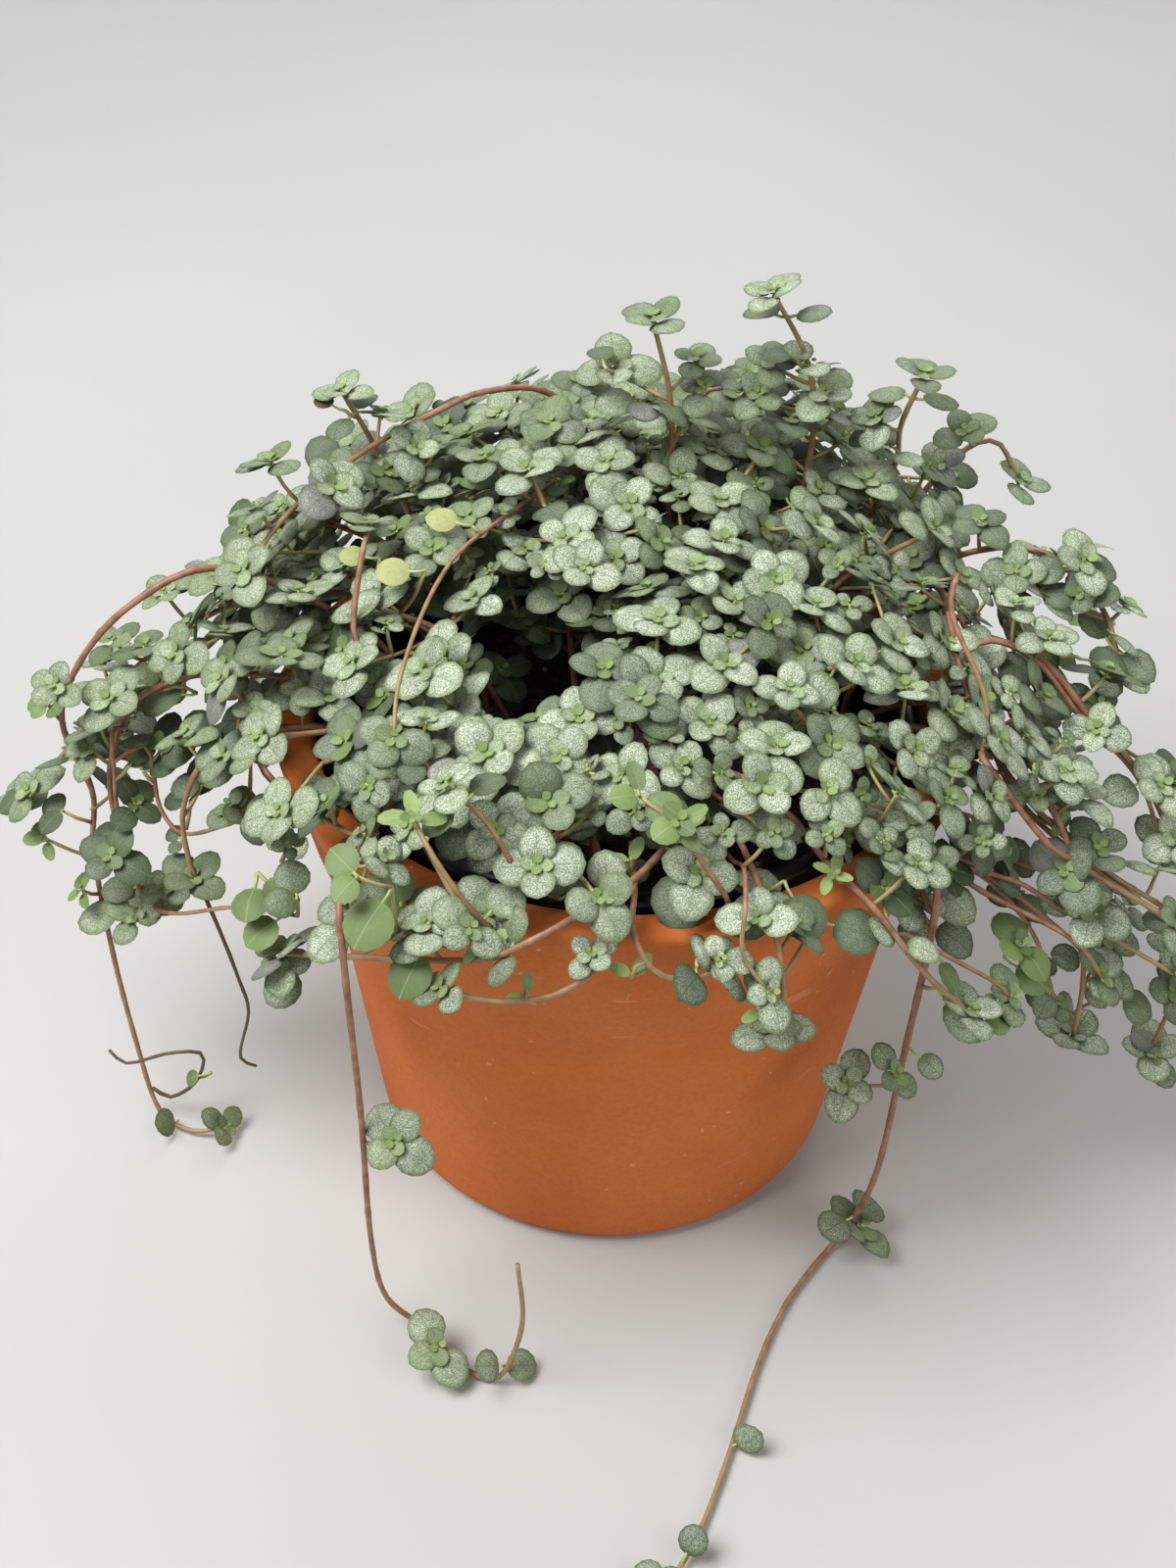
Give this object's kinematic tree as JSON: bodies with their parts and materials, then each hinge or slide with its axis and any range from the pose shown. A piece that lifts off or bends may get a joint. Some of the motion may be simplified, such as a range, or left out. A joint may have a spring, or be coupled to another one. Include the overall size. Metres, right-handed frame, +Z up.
{
  "type": "potted pilea plant",
  "caption": "Small-leaved trailing houseplant in a flared terracotta cover pot, with nursery pot, soil and separate leafy stems that mound, arch over the rim and hang.",
  "frame": {"origin": "centre of the flat underside of the terracotta pot", "axes": "+Z up along the pot's axis, -Y towards the front of the picture, +X towards its right"},
  "size_m": [0.2648, 0.2525, 0.188],
  "materials": {
    "terracotta": "matte unglazed",
    "black_plastic": "satin",
    "potting_mix": "rough and crumbly",
    "foliage": "satin, silver-speckled green"
  },
  "bodies": {
    "root": {"terracotta_pot": "terracotta", "nursery_pot": "black_plastic", "soil": "potting_mix", "left_trailing_stem": "foliage", "left_hanging_stem": "foliage", "left_outer_stem": "foliage", "left_lower_stem": "foliage", "front_left_hanging_stem": "foliage", "front_left_level_stem": "foliage", "front_arc_stem": "foliage", "front_drooping_stem": "foliage", "front_short_stem": "foliage", "front_right_reaching_stem": "foliage", "front_right_hanging_stem": "foliage", "right_long_stem": "foliage", "right_arching_stem": "foliage", "right_lower_stem": "foliage", "right_upper_stem": "foliage", "tall_sprig": "foliage", "top_sprig": "foliage", "back_right_sprig": "foliage", "right_nodding_sprig": "foliage", "left_sprig": "foliage", "left_arch_stem": "foliage", "back_arch_stem": "foliage", "back_left_hanging_stem": "foliage", "back_trailing_stem": "foliage", "back_right_hanging_stem": "foliage", "side_left_hanging_stem": "foliage", "mound_stem_01": "foliage", "mound_stem_02": "foliage", "mound_stem_03": "foliage", "mound_stem_04": "foliage", "mound_stem_05": "foliage", "mound_stem_06": "foliage", "mound_stem_07": "foliage", "mound_stem_08": "foliage", "mound_stem_09": "foliage", "mound_stem_10": "foliage", "mound_stem_11": "foliage", "mound_stem_12": "foliage", "mound_stem_13": "foliage", "mound_stem_14": "foliage", "mound_stem_15": "foliage", "mound_stem_16": "foliage"}
  },
  "joints": []
}
